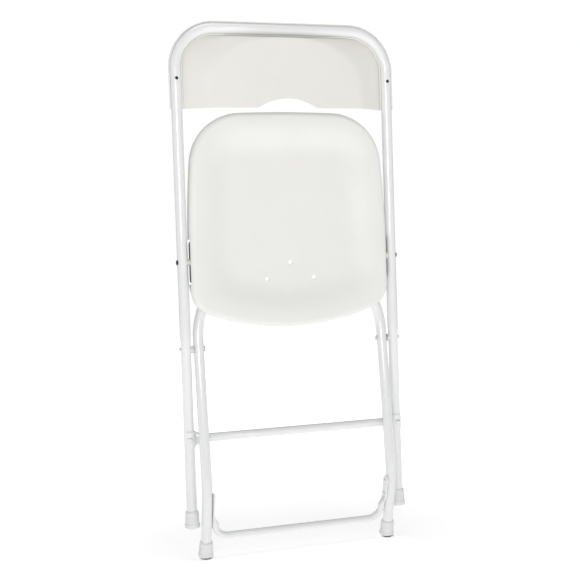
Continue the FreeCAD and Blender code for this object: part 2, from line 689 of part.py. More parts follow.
def seat_bracket():
    """Folded plate: one leaf stands inside the seat's side, the other lies under the pad, drawn at +X."""
    z0 = seat_pivot_z - bracket_long / 2
    z1 = seat_pivot_z + bracket_long / 2
    leaf = block(bracket_inner_x, bracket_outer_x, skirt_low_y + past, flange_y + bracket_thick, z0, z1)
    flange = block(flange_inner_x, bracket_outer_x, flange_y, flange_y + bracket_thick, z0, z1)
    plate = leaf.fuse(flange).removeSplitter()
    holes = [rod(rivet_d / 2 + run_gap, vec(bracket_inner_x - past, 0, seat_pivot_z),
                 vec(bracket_outer_x + past, 0, seat_pivot_z))]
    for v in (-bracket_screw_v, bracket_screw_v):
        start = vec(bracket_screw_x, flange_y - past, seat_pivot_z + v)
        holes.append(rod(screw_d / 2 + fixed_gap, start, start + Y * (bracket_thick + 2 * past)))
    return plate.cut(holes)


def bracket_screws():
    solids = []
    for _, side in sides:
        for v in (-bracket_screw_v, bracket_screw_v):
            seat_point = vec(side * bracket_screw_x, flange_y, seat_pivot_z + v)
            solids.append(dome_rivet(seat_point, Y, screw_d, screw_head_d, screw_head_high,
                                     bracket_screw_long - screw_tip_gap))
    return Part.makeCompound(solids)


def seat_rail():
    """Steel strip that the slide bar bears on, with a bent stop at its front end, drawn at +X."""
    x0 = rail_x - rail_wide / 2
    x1 = rail_x + rail_wide / 2
    z0 = seat_pivot_z + rail_start_v
    z1 = seat_pivot_z + rail_end_v
    strip = block(x0, x1, rail_face_y, rib_low_y, z0, z1)
    stop = block(x0, x1, rail_face_y - stop_high, rib_low_y, z1 - rail_thick, z1)
    rail = strip.fuse(stop).removeSplitter()
    holes = []
    for v in rail_screw_vs:
        start = vec(rail_x, rail_face_y, seat_pivot_z + v)
        holes.append(rod(screw_d / 2 + fixed_gap, start - Y * past, start + Y * (rail_thick + past)))
        holes.append(Part.makeCone(screw_head_d / 2, screw_d / 2, rail_thick * sink_share, start, Y))
    return rail.cut(holes)


def rail_screws():
    """Countersunk, so that the slide bar passes over them."""
    solids = []
    for _, side in sides:
        for v in rail_screw_vs:
            start = vec(side * rail_x, rail_face_y, seat_pivot_z + v)
            head = Part.makeCone(screw_head_d / 2, screw_d / 2, rail_thick * sink_share, start, Y)
            shaft = rod(screw_d / 2, start, start + Y * (rail_screw_long - screw_tip_gap))
            solids.append(head.fuse(shaft).removeSplitter())
    return Part.makeCompound(solids)


# ---- the whole -------------------------------------------------------------------------------------
nodes = {
    "front_frame_tube": front_frame_tube(),
    "front_crossbar": front_crossbar(),
    "crossbar_rivets": crossbar_rivets(),
    "back_panel": back_panel(),
    "back_panel_screws": panel_screws(),
    "rear_leg_tube": rear_leg_tube(),
    "rear_brace": rear_brace(),
    "rear_brace_rivets": brace_rivets(),
    "seat_shell": seat_shell(),
    "seat_bracket_screws": bracket_screws(),
    "seat_rail_screws": rail_screws(),
}
for name, side in sides:
    nodes[name + "_front_foot"] = front_foot(side)
    nodes[name + "_rear_foot"] = rear_foot(side)
    nodes[name + "_seat_pivot_rivet"] = on_side(pivot_rivet(seat_pivot_z, seat_rivet_inner_x), side)
    nodes[name + "_leg_pivot_rivet"] = on_side(pivot_rivet(leg_pivot_z, leg_rivet_inner_x), side)
    nodes[name + "_seat_pivot_spacer"] = on_side(seat_pivot_spacer(), side)
    nodes[name + "_leg_pivot_spacer"] = on_side(leg_pivot_spacer(), side)
    nodes[name + "_leg_pivot_washer"] = on_side(leg_pivot_washer(), side)
    nodes[name + "_seat_bracket"] = on_side(seat_bracket(), side)
    nodes[name + "_seat_rail"] = on_side(seat_rail(), side)

box = Part.makeCompound(list(nodes.values())).optimalBoundingBox()
shift = vec(0, -(box.YMin + box.YMax) / 2, -box.ZMin)
os.makedirs("parts", exist_ok=True)
for name, shape in nodes.items():
    shape.translate(shift)
    shape.exportStep("parts/" + name + ".step")
    print(name, "solids", len(shape.Solids), "volume %.0f" % shape.Volume, "valid", shape.isValid())
print("seat pivot y %.3f z %.3f" % (shift.y, seat_pivot_z + shift.z))
print("leg pivot y %.3f z %.3f" % (shift.y, leg_pivot_z + shift.z))
print("size %.1f %.1f %.1f" % (box.XLength, box.YLength, box.ZLength))
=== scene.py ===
import bpy
import bmesh
import json
import math
from mathutils import Matrix, Vector
from mathutils.bvhtree import BVHTree


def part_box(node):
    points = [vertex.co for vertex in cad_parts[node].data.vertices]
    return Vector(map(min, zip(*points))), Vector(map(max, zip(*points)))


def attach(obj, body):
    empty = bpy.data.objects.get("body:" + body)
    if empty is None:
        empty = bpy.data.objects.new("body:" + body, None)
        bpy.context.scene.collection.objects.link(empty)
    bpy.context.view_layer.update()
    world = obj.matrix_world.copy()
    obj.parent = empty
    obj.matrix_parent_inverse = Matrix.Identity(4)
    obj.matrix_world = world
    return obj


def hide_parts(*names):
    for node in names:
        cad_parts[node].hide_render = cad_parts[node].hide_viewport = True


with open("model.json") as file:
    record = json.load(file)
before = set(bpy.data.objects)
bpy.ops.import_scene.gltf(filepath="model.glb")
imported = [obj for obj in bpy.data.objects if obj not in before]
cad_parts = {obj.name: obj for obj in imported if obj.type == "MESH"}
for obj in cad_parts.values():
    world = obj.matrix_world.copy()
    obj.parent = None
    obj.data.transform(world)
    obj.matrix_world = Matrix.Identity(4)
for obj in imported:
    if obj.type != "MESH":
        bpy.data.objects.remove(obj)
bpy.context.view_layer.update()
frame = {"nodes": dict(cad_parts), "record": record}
record = frame["record"]
joints = {joint["name"]: Vector(joint["pos_m"]) for joint in record["behaviour"]["joints"]}
seatPivot = joints["seat_fold"]
legPivot = joints["rear_legs_fold"]
planeY = seatPivot.y                      # the front hoop's own plane
mm = 0.001


# A number or colour coming out of a shader node; sums and products of it add Math nodes.
class Wire:
    def __init__(self, finish, socket):
        self.finish = finish
        self.socket = socket

    def maths(self, operation, first, second):
        return self.finish.node("ShaderNodeMath", {"operation": operation}, {0: first, 1: second})

    def __add__(self, other):
        return self.maths("ADD", self, other)

    def __radd__(self, other):
        return self.maths("ADD", other, self)

    def __sub__(self, other):
        return self.maths("SUBTRACT", self, other)

    def __rsub__(self, other):
        return self.maths("SUBTRACT", other, self)

    def __mul__(self, other):
        return self.maths("MULTIPLY", self, other)

    def __rmul__(self, other):
        return self.maths("MULTIPLY", other, self)


# A material under construction, with one way to add any node.
class Finish:
    def __init__(self, name, fixed):
        self.material = bpy.data.materials.new(name)
        self.material.use_nodes = True
        self.tree = self.material.node_tree
        self.shader = self.tree.nodes["Principled BSDF"]
        for socket, value in fixed.items():
            self.shader.inputs[socket].default_value = value
        self.place = self.node("ShaderNodeTexCoord", {}, {}, "Object")
        self.bumps = None

    def node(self, kind, settings, sockets, output=0):
        made = self.tree.nodes.new(kind)
        for key, value in settings.items():
            if key == "stops":
                ramp = made.color_ramp
                for i, (where, level) in enumerate(value):
                    stop = ramp.elements[i] if i < 2 else ramp.elements.new(where)
                    stop.position = where
                    stop.color = (level, level, level, 1)
            else:
                setattr(made, key, value)
        for key, value in sockets.items():
            if isinstance(value, Wire):
                self.tree.links.new(value.socket, made.inputs[key])
            else:
                made.inputs[key].default_value = value
        return Wire(self, made.outputs[output])

    def noise(self, scale, detail=3.0, rough=0.5, distortion=0.0, seed=0.0):
        shifted = self.node("ShaderNodeVectorMath", {"operation": "ADD"}, {
            0: self.place, 1: (seed, -seed, seed)})
        return self.node("ShaderNodeTexNoise", {}, {
            "Vector": shifted, "Scale": scale, "Detail": detail,
            "Roughness": rough, "Distortion": distortion})

    # Noise drawn out along one axis of the piece, for scratches and brushing.
    def drawnNoise(self, mapping, scale, detail, rough=0.5):
        drawn = self.node("ShaderNodeMapping", {}, {"Vector": self.place, **mapping})
        return self.node("ShaderNodeTexNoise", {}, {
            "Vector": drawn, "Scale": scale, "Detail": detail, "Roughness": rough})

    def cells(self, scale):
        return self.node("ShaderNodeTexVoronoi", {"feature": "SMOOTH_F1"}, {
            "Vector": self.place, "Scale": scale}, "Distance")

    def ramp(self, value, stops):
        return self.node("ShaderNodeValToRGB", {"stops": stops}, {0: value})

    def between(self, share, first, second):
        return self.node("ShaderNodeMix", {"data_type": "RGBA"}, {0: share, 6: first, 7: second}, 2)

    # 1 at the low height, 0 at the high one, both in metres above the floor.
    def below(self, height, low, high):
        return self.node("ShaderNodeMapRange", {"clamp": True}, {
            "Value": height, "From Min": low, "From Max": high, "To Min": 1.0, "To Max": 0.0})

    def bump(self, height, distance, strength=1.0):
        sockets = {"Height": height, "Distance": distance, "Strength": strength}
        if self.bumps:
            sockets["Normal"] = self.bumps
        self.bumps = self.node("ShaderNodeBump", {}, sockets)

    def edges(self, radius):
        bevel = self.node("ShaderNodeBevel", {"samples": 4}, {"Radius": radius})
        plain = self.node("ShaderNodeNewGeometry", {}, {}, "Normal")
        along = self.node("ShaderNodeVectorMath", {"operation": "DOT_PRODUCT"}, {
            0: bevel, 1: plain}, "Value")
        return 1 - along

    def finish(self, **sockets):
        names = {"glow": "Emission Color", "colour": "Base Color",
                 "roughness": "Roughness", "coat": "Coat Weight"}
        for key, value in sockets.items():
            self.tree.links.new(value.socket, self.shader.inputs[names[key]])
        if self.bumps:
            self.tree.links.new(self.bumps.socket, self.shader.inputs["Normal"])
        return self.material


print("stage: finishes")
paintLook = {
    "white": (0.85, 0.855, 0.855, 1), "shade": (0.81, 0.815, 0.82, 1), "chip": (0.30, 0.295, 0.285, 1),
    "peelScale": 520.0, "peelDepth": 0.00003, "waveScale": 45.0, "waveDepth": 0.0001, "patchScale": 9.0,
    "rubScale": 160.0, "rubDepth": 0.00008, "streakScale": 28.0, "roughLow": 0.16, "roughHigh": 0.26,
    "coat": 0.8}
plasticLook = {
    "grainScale": 1100.0, "grainDepth": 0.00005, "flowScale": 5.0, "flowDepth": 0.0006,
    "cloudScale": 13.0, "scratchScale": 34.0, "scratchLong": 14, "scratchDepth": 0.00003,
    "roughLow": 0.34, "roughHigh": 0.52}
seatLook = dict(
    plasticLook, white=(0.845, 0.85, 0.825, 1), warm=(0.81, 0.812, 0.775, 1),
    scuff=(0.70, 0.70, 0.68, 1))
panelLook = dict(
    plasticLook, white=(0.825, 0.825, 0.785, 1), warm=(0.80, 0.775, 0.74, 1),
    scuff=(0.69, 0.68, 0.65, 1), roughHigh=0.50)
spacerLook = dict(seatLook, white=(0.78, 0.78, 0.74, 1), warm=(0.70, 0.70, 0.65, 1))
# The near-black sole colour is painted contact shadow. Feet turn near-black below about 3 mm above the
# floor and fade out by 4 mm, so only the feet that stand on the floor get it.
footLook = {
    "white": (0.82, 0.825, 0.82, 1), "dirt": (0.46, 0.45, 0.43, 1), "sole": (0.02, 0.02, 0.02, 1),
    "grainScale": 1400.0, "grainDepth": 0.00004, "grimeScale": 190.0, "grimeDepth": 0.0001,
    "dirtBand": (0.002, 0.012), "contactShadowBand": (0.0030, 0.0040), "contactShadowWaver": 0.0012}
zincLook = {
    "base": (0.80, 0.80, 0.79, 1), "dull": (0.60, 0.60, 0.585, 1), "metallic": 0.85,
    "brushScale": 260.0, "brushLong": 12, "spotScale": 330.0, "edge": 0.0006, "depth": 0.00003,
    "roughLow": 0.32, "roughHigh": 0.5}
blackLook = dict(
    zincLook, base=(0.018, 0.018, 0.019, 1), dull=(0.07, 0.068, 0.065, 1), metallic=0.55, roughLow=0.28)


def paintedSteel(name, look):
    made = Finish(name, {"IOR": 1.5, "Coat Roughness": 0.06})
    peel = made.noise(look["peelScale"], 2.0)
    wave = made.noise(look["waveScale"], 3.0, seed=3.0)
    patchy = made.ramp(made.noise(look["patchScale"], 4.0, seed=7.0), [(0.35, 0.0), (0.7, 1.0)])
    rubbed = made.noise(look["rubScale"], 5.0, 0.65, seed=11.0)
    rubbed = made.ramp(rubbed, [(0.735, 0.0), (0.755, 1.0)])
    streaks = made.noise(look["streakScale"], 6.0, 0.7, 1.5, seed=17.0)
    streaks = made.ramp(streaks, [(0.60, 0.0), (0.80, 1.0)])
    colour = made.between(patchy * 0.35 + streaks * 0.15, look["white"], look["shade"])
    colour = made.between(rubbed * 0.35, colour, look["chip"])
    roughness = look["roughLow"] + wave * (look["roughHigh"] - look["roughLow"])
    roughness = roughness + rubbed * 0.25 + streaks * 0.08
    made.bump(wave, look["waveDepth"], 0.10)
    made.bump(peel, look["peelDepth"], 0.6)
    made.bump(1 - rubbed, look["rubDepth"], 0.5)
    return made.finish(colour=colour, roughness=roughness, coat=look["coat"] - streaks * 0.3)


def mouldedPlastic(name, look):
    made = Finish(name, {"IOR": 1.49, "Subsurface Weight": 0.06, "Subsurface Scale": 0.004})
    grain = made.cells(look["grainScale"])
    fine = made.noise(look["grainScale"] * 1.7, 2.0, seed=2.0)
    flow = made.noise(look["flowScale"], 3.0, 0.5, 0.8, seed=5.0)
    cloud = made.ramp(made.noise(look["cloudScale"], 4.0, seed=9.0), [(0.38, 0.0), (0.68, 1.0)])
    lines = {"Rotation": (0.3, 0.5, 0.9), "Scale": (1, 1, look["scratchLong"])}
    scratch = made.drawnNoise(lines, look["scratchScale"], 6.0, 0.7)
    scuffed = made.ramp(scratch, [(0.67, 0.0), (0.72, 1.0)]) * cloud
    colour = made.between(flow * 0.35 + cloud * 0.4, look["white"], look["warm"])
    colour = made.between(scuffed * 0.45, colour, look["scuff"])
    roughness = look["roughLow"] + flow * 0.06 + cloud * (look["roughHigh"] - look["roughLow"])
    roughness = roughness + scuffed * 0.12
    made.bump(flow, look["flowDepth"], 0.12)
    made.bump(grain + fine * 0.5, look["grainDepth"], 0.7)
    made.bump(1 - scuffed, look["scratchDepth"], 0.6)
    return made.finish(colour=colour, roughness=roughness)


def footPlastic(name, look):
    made = Finish(name, {"IOR": 1.49, "Subsurface Weight": 0.05, "Subsurface Scale": 0.003})
    grain = made.cells(look["grainScale"])
    grime = made.noise(look["grimeScale"], 6.0, 0.65, 0.6, seed=4.0)
    up = made.node("ShaderNodeSeparateXYZ", {}, {0: made.place}, "Z")
    lowBand = made.below(up, *look["dirtBand"])
    # Painted contact shadow: near-black below about 3 mm above the floor, its edge wavering with the
    # grime.
    darkening = made.below(up + grime * look["contactShadowWaver"], *look["contactShadowBand"])
    dirt = made.ramp(grime * 0.6 + lowBand * 0.35, [(0.55, 0.0), (0.85, 1.0)])
    colour = made.between(dirt * 0.5, look["white"], look["dirt"])
    colour = made.between(darkening, colour, look["sole"])
    made.bump(grain, look["grainDepth"], 0.6)
    made.bump(grime, look["grimeDepth"], 0.4)
    return made.finish(colour=colour, roughness=0.42 + grime * 0.14 + dirt * 0.2)


def bareSteel(name, look):
    made = Finish(name, {"Metallic": look["metallic"], "IOR": 1.5})
    brushed = made.drawnNoise({"Scale": (1, look["brushLong"], 1)}, look["brushScale"], 4.0)
    spots = made.ramp(made.noise(look["spotScale"], 5.0, 0.6, seed=6.0), [(0.45, 0.0), (0.75, 1.0)])
    darkening = made.ramp(made.edges(look["edge"]), [(0.02, 0.0), (0.22, 1.0)])
    colour = made.between(spots * 0.7 + darkening * 0.2, look["base"], look["dull"])
    made.bump(brushed, look["depth"], 0.6)
    made.bump(spots, look["depth"], 0.4)
    roughness = look["roughLow"] + spots * (look["roughHigh"] - look["roughLow"]) + brushed * 0.08
    return made.finish(colour=colour, roughness=roughness)


finishes = {
    "frame_paint": paintedSteel("whitePowderPaint", paintLook),
    "seat_plastic": mouldedPlastic("seatPlastic", seatLook),
    "panel_plastic": mouldedPlastic("backrestPlastic", panelLook),
    "foot_plastic": footPlastic("footPlastic", footLook),
    "spacer_plastic": mouldedPlastic("spacerNylon", spacerLook),
    "zinc_steel": bareSteel("zincPlatedSteel", zincLook),
    "black_steel": bareSteel("blackenedSteel", blackLook)}

for part in record["subparts"]:
    for slot in frame["nodes"][part["node"]].material_slots:
        slot.material = finishes[part["material_slot"]]


# Puts a mesh, a light or the camera in the scene, a mesh with its finish.
def linked(name, data, finish=None):
    made = bpy.data.objects.new(name, data)
    bpy.context.scene.collection.objects.link(made)
    if finish:
        data.materials.append(finish)
    return made


def newPiece(name, points, faces, slot):
    mesh = bpy.data.meshes.new(name)
    mesh.from_pydata([tuple(p) for p in points], [], faces)
    return linked(name, mesh, finishes[slot])


# Faces between closed rows of points that follow each other in one list.
def rowFaces(rows, count, base=0):
    faces = []
    for i in range(rows - 1):
        for j in range(count):
            a = base + i * count + j
            b = base + i * count + (j + 1) % count
            faces.append((a, b, b + count, a + count))
    return faces


# Cuts the many-sided end faces of a piece into triangles.
def trianglesAtEnds(piece):
    work = bmesh.new()
    work.from_mesh(piece.data)
    bmesh.ops.triangulate(work, faces=[f for f in work.faces if len(f.verts) > 4])
    work.to_mesh(piece.data)
    work.free()


# Merges doubles, turns the faces outwards and marks the sharp edges.
def tidyMesh(mesh, angle=35.0, merge=0.00001, turn=True):
    work = bmesh.new()
    work.from_mesh(mesh)
    bmesh.ops.remove_doubles(work, verts=work.verts, dist=merge)
    bmesh.ops.dissolve_degenerate(work, edges=work.edges, dist=merge)
    if turn:
        bmesh.ops.recalc_face_normals(work, faces=work.faces)
    work.to_mesh(mesh)
    work.free()
    mesh.shade_smooth()
    mesh.set_sharp_from_angle(angle=math.radians(angle))


def applied(piece):
    graph = bpy.context.evaluated_depsgraph_get()
    mesh = bpy.data.meshes.new_from_object(piece.evaluated_get(graph))
    piece.modifiers.clear()
    piece.data = mesh
    return piece


def cutAway(piece, cutters):
    for cutter in cutters:
        knife = piece.modifiers.new("cut", "BOOLEAN")
        knife.operation = "DIFFERENCE"
        knife.solver = "EXACT"
        knife.object = cutter
    applied(piece)
    for cutter in cutters:
        bpy.data.objects.remove(cutter)
    return piece


def boxPiece(name, low, high, slot):
    xs, ys, zs = zip(low, high)
    corners = [(x, y, z) for x in xs for y in ys for z in zs]
    faces = [(0, 1, 3, 2), (4, 6, 7, 5), (0, 4, 5, 1), (2, 3, 7, 6), (0, 2, 6, 4), (1, 5, 7, 3)]
    return newPiece(name, corners, faces, slot)


# Turns a profile of (radius, height) about Z.
def lathed(name, profile, steps, slot):
    points = []
    faces = []
    for i in range(steps):
        turn = 2 * math.pi * i / steps
        points += [(r * math.cos(turn), r * math.sin(turn), z) for r, z in profile]
    count = len(profile)
    for i in range(steps):
        for j in range(count - 1):
            a = i * count + j
            b = (i + 1) % steps * count + j
            faces.append((a, b, b + 1, a + 1))
    piece = newPiece(name, points, faces, slot)
    tidyMesh(piece.data)
    return piece


# Rounds the profile's corners whose number is in radii; a straight one stays a point.
def rounded(profile, radii, steps=4):
    points = [profile[0]]
    for i in range(1, len(profile) - 1):
        corner = Vector(profile[i])
        back = (Vector(profile[i - 1]) - corner).normalized()
        ahead = (Vector(profile[i + 1]) - corner).normalized()
        radius = radii.get(i, 0)
        half = back.angle(ahead) / 2
        if not radius or half > 1.55:     # nearly straight on
            points.append(tuple(corner))
            continue
        reach = radius / math.tan(half)
        centre = corner + (back + ahead).normalized() * radius / math.sin(half)
        start = corner + back * reach - centre
        end = corner + ahead * reach - centre
        for k in range(steps + 1):
            arm = start.lerp(end, k / steps).normalized() * radius
            points.append(tuple(centre + arm))
    points.append(profile[-1])
    return points


def joined(name, pieces):
    work = bmesh.new()
    for piece in pieces:
        work.from_mesh(piece.data)
    mesh = bpy.data.meshes.new(name)
    work.to_mesh(mesh)
    work.free()
    material = pieces[0].data.materials[0]
    for piece in pieces:
        bpy.data.objects.remove(piece)
    return linked(name, mesh, material)


# Copies of one small template at many places. Each stands along its place's own facing.
def copiesTree():
    tree = bpy.data.node_groups.new("setOfCopies", "GeometryNodeTree")
    inputs = {"Places": "Geometry", "Template": "Object", "Size": "Float", "Spin": "Float",
              "Seed": "Int", "Finish": "Material"}
    for name, kind in inputs.items():
        tree.interface.new_socket(name, in_out="INPUT", socket_type="NodeSocket" + kind)
    tree.interface.new_socket("Copies", in_out="OUTPUT", socket_type="NodeSocketGeometry")
    add = tree.nodes.new
    link = tree.links.new
    given = add("NodeGroupInput")
    turn = add("GeometryNodeInputNamedAttribute")
    turn.data_type = "FLOAT_VECTOR"
    turn.inputs["Name"].default_value = "turn"
    asRotation = add("FunctionNodeEulerToRotation")
    spin = add("FunctionNodeRandomValue")
    spin.data_type = "FLOAT"
    spinVector = add("ShaderNodeCombineXYZ")
    spinRotation = add("FunctionNodeEulerToRotation")
    both = add("FunctionNodeRotateRotation")
    both.rotation_space = "LOCAL"
    template = add("GeometryNodeObjectInfo")
    template.inputs["As Instance"].default_value = True
    put = add("GeometryNodeInstanceOnPoints")
    real = add("GeometryNodeRealizeInstances")
    paint = add("GeometryNodeSetMaterial")
    result = add("NodeGroupOutput")
    link(given.outputs["Places"], put.inputs["Points"])
    link(given.outputs["Template"], template.inputs["Object"])
    link(template.outputs["Geometry"], put.inputs["Instance"])
    link(turn.outputs["Attribute"], asRotation.inputs[0])
    link(given.outputs["Spin"], spin.inputs["Max"])
    link(given.outputs["Seed"], spin.inputs["Seed"])
    link(spin.outputs["Value"], spinVector.inputs["Z"])
    link(spinVector.outputs[0], spinRotation.inputs[0])
    link(asRotation.outputs[0], both.inputs["Rotation"])
    link(spinRotation.outputs[0], both.inputs["Rotate By"])
    link(both.outputs[0], put.inputs["Rotation"])
    link(given.outputs["Size"], put.inputs["Scale"])
    link(put.outputs[0], real.inputs[0])
    link(real.outputs[0], paint.inputs["Geometry"])
    link(given.outputs["Finish"], paint.inputs["Material"])
    link(paint.outputs[0], result.inputs[0])
    return tree


def copies(name, template, places, body, slot, replaced, size=1.0, spin=0.0, seed=1):
    mesh = bpy.data.meshes.new(name)
    mesh.from_pydata([tuple(point) for point, facing in places], [], [])
    turns = mesh.attributes.new("turn", "FLOAT_VECTOR", "POINT")
    for i, (point, facing) in enumerate(places):
        turns.data[i].vector = Vector(facing).to_track_quat("Z", "Y").to_euler()
    piece = linked(name, mesh)
    modifier = piece.modifiers.new("copies", "NODES")
    modifier.node_group = copiesGroup
    items = copiesGroup.interface.items_tree
    inputs = {item.name: item.identifier for item in items if item.in_out == "INPUT"}
    modifier[inputs["Template"]] = template
    modifier[inputs["Size"]] = size
    modifier[inputs["Spin"]] = spin
    modifier[inputs["Seed"]] = seed
    modifier[inputs["Finish"]] = finishes[slot]
    applied(piece)
    piece.data.set_sharp_from_angle(angle=math.radians(35))
    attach(piece, body)
    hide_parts(*replaced)
    return piece


copiesGroup = copiesTree()


print("stage: seat")
seatSize = {                              # millimetres from the seat's pivots, with the seat folded up
    "half": 197.0, "front": 279.0, "rear": 129.0, "rearCorner": 49.9, "rearTurn": 20.0,
    "cornerShrink": 10.0, "cornerGrow": 0.059, "sideRadius": 1900.0, "sideTurn": 5.1,
    "frontCorner": 100.0, "frontTurn": 2.0, "crest": 15.0, "roll": 10.0, "skirtLow": -9.0,
    "rearLow": 4.3, "stepFrom": -56.0, "stepTo": -50.0, "wall": 3.0, "dishFrom": 12.0, "dishTo": 88.0,
    "floor": 2.5, "middle": 70.0, "middleRows": 8, "drain": 8.0, "drainFlare": 1.4,
    "drains": ((47.0, -37.0), (-47.0, -37.0), (0.0, -7.0)),
    "notchIn": 191.5, "notchHalf": 42.0, "notchTop": 9.0,
    "railX": 70.0, "ribWide": 12.0, "ribLow": -10.31, "ribFrom": 26.0, "ribTo": 276.4,
    "crossRibs": (240.0, 170.0, 100.0), "crossFrom": 40.0, "crossWide": 2.4, "crossLow": -8.31,
    "padIn": 174.0, "padSpare": 3, "sink": 0.4}


# y goes through the seat, v from its rear edge up to its front edge.
def seatPoint(x, y, v):
    return Vector((x * mm, planeY + y * mm, seatPivot.z + v * mm))


# The seat's outline as (x, v) pairs, drawn in by the inset: five arcs and a straight run a side.
def seatOutline(inset):
    size = seatSize
    turn1, turn2, turn3 = (math.radians(size[k]) for k in ("rearTurn", "sideTurn", "frontTurn"))
    half = size["half"] - inset
    shrink = size["cornerShrink"]
    rearCorner = size["rearCorner"] - min(inset, shrink) + max(inset - shrink, 0.0) * size["cornerGrow"]
    corner = size["frontCorner"] - inset
    rearR = (half - rearCorner * (1 - math.sin(turn1))) / math.sin(turn1)
    rearV = inset - size["rear"] + rearR
    cornerV = rearV - (rearR - rearCorner) * math.cos(turn1)
    sideR = size["sideRadius"]
    frontX = half - sideR * (1 - math.cos(turn2)) - corner * math.cos(turn2)
    frontR = (frontX + corner * math.sin(turn3)) / math.sin(turn3)
    frontV = size["front"] - inset - frontR * (1 - math.cos(turn3)) - corner * math.cos(turn3)
    sideV = frontV + corner * math.sin(turn2) - sideR * math.sin(turn2)
    quarter = math.pi / 2
    sideStart = max(0.0, (cornerV + 1.5 - sideV) / sideR)     # the run never doubles back
    straight = 8
    arcs = [                              # centre x and v, radius, start, end, steps
        (0.0, rearV, rearR, -quarter, -quarter + turn1, 16),
        (half - rearCorner, cornerV, rearCorner, -quarter + turn1, 0.0, 14),
        (half - sideR, sideV, sideR, sideStart, turn2, 30),
        (frontX, frontV, corner, turn2, quarter - turn3, 20),
        (0.0, size["front"] - inset - frontR, frontR, quarter - turn3, quarter, 14)]
    side = []
    for i, (cx, cv, radius, start, end, steps) in enumerate(arcs):
        arc = [(cx + radius * math.cos(start + (end - start) * k / steps),
                cv + radius * math.sin(start + (end - start) * k / steps)) for k in range(steps + 1)]
        if i == 0:
            side.append(arc[0])
        if i == 2:
            (x0, v0), (x1, v1) = side[-1], arc[0]
            side += [(x0 + (x1 - x0) * k / straight, v0 + (v1 - v0) * k / straight)
                     for k in range(1, straight + 1)]
        side += arc[1:]
    return side + [(-x, v) for x, v in reversed(side[1:-1])]


def smootherStep(t):
    t = min(max(t, 0.0), 1.0)
    return t * t * t * (t * (t * 6 - 15) + 10)


# The wall's cross-section from the dish's middle outwards: inner side, lower lip, outer side.
def seatProfile():
    size = seatSize
    crest, roll, wall = size["crest"], size["roll"], size["wall"]
    rollSteps, dishSteps = 8, 24
    outer = [(0.0, crest - roll)]
    for k in range(1, rollSteps + 1):
        angle = math.pi / 2 * k / rollSteps
        outer.append((roll * (1 - math.cos(angle)), crest - roll + roll * math.sin(angle)))
    first = size["dishFrom"] - 2.0
    for k in range(1, dishSteps + 1):
        inset = first + (size["dishTo"] - first) * k / dishSteps
        t = (inset - size["dishFrom"]) / (size["dishTo"] - size["dishFrom"])
        outer.append((inset, crest + (size["floor"] - crest) * smootherStep(t)))
    inner = []
    for k, (inset, y) in enumerate(outer):
        ahead, back = outer[min(k + 1, len(outer) - 1)], outer[max(k - 1, 0)]
        along = Vector((ahead[0] - back[0], ahead[1] - back[1]))
        if k == 0:
            along = Vector((0.0, 1.0))
        if k == len(outer) - 1:
            along = Vector((1.0, 0.0))
        along.normalize()
        inner.append((inset + wall * along.y, y - wall * along.x))
    lip = [(wall, 0.5), (wall - 0.15, 0.15), (wall - 0.5, 0.0), (0.5, 0.0), (0.15, 0.15), (0.0, 0.5)]
    return inner[::-1], lip, outer


def seatRings():
    size = seatSize
    inner, lip, outer = seatProfile()
    middleV, rows = size["middle"], size["middleRows"]

    def middle(y):
        outline = seatOutline(size["dishTo"])
        shares = [1 - k / rows for k in range(1, rows)]
        return [[(x * t, y, middleV + (v - middleV) * t) for x, v in outline] for t in shares]

    def ring(inset, y):
        return [(x, y, v) for x, v in seatOutline(inset)]

    def edge(inset, lift):                # the skirt's lower edge, cut short at the rear
        made = []
        for x, v in seatOutline(inset):
            step = smootherStep((v - size["stepFrom"]) / (size["stepTo"] - size["stepFrom"]))
            low = size["rearLow"] + (size["skirtLow"] - size["rearLow"]) * step
            made.append((x, low + lift, v))
        return made

    rings = middle(size["floor"] - size["wall"])[::-1]
    rings += [ring(*place) for place in inner] + [edge(*place) for place in lip]
    return rings + [ring(*place) for place in outer] + middle(size["floor"])


def makeSeat():
    size = seatSize
    rings = seatRings()
    count = len(rings[0])
    points = [point for ring in rings for point in ring]
    poles = len(points)
    points += [(0.0, y, size["middle"]) for y in (size["floor"] - size["wall"], size["floor"])]
    faces = rowFaces(len(rings), count)
    for j in range(count):
        faces.append((j, poles, (j + 1) % count))
        faces.append((poles - count + j, poles - count + (j + 1) % count, poles + 1))
    seat = newPiece("seatShell", [seatPoint(*p) for p in points], faces, "seat_plastic")
    tidyMesh(seat.data)
    return cutAway(seat, notchCutters() + drainCutters())


def notchCutters():
    size = seatSize
    cutters = []
    for side in (1, -1):
        ends = (seatPoint(side * size["notchIn"], size["skirtLow"] - 3, -size["notchHalf"]),
                seatPoint(side * (size["half"] + 4), size["notchTop"], size["notchHalf"]))
        low, high = [min(pair) for pair in zip(*ends)], [max(pair) for pair in zip(*ends)]
        cutters.append(boxPiece("notchCutter", low, high, "seat_plastic"))
    return cutters


def drainCutters():
    size = seatSize
    radius, long = size["drain"] / 2, 30
    wide = radius + size["drainFlare"]
    profile = [(0, -long), (radius, -long), (radius, size["floor"] - 0.9), (wide, size["floor"] + 0.5),
               (wide, long), (0, long)]
    cutters = []
    for x, v in size["drains"]:
        drill = lathed("drainCutter", [(r * mm, z * mm) for r, z in profile], 48, "seat_plastic")
        through = Matrix.Rotation(-math.pi / 2, 4, "X")
        drill.data.transform(Matrix.Translation(seatPoint(x, 0, v)) @ through)
        cutters.append(drill)
    return cutters


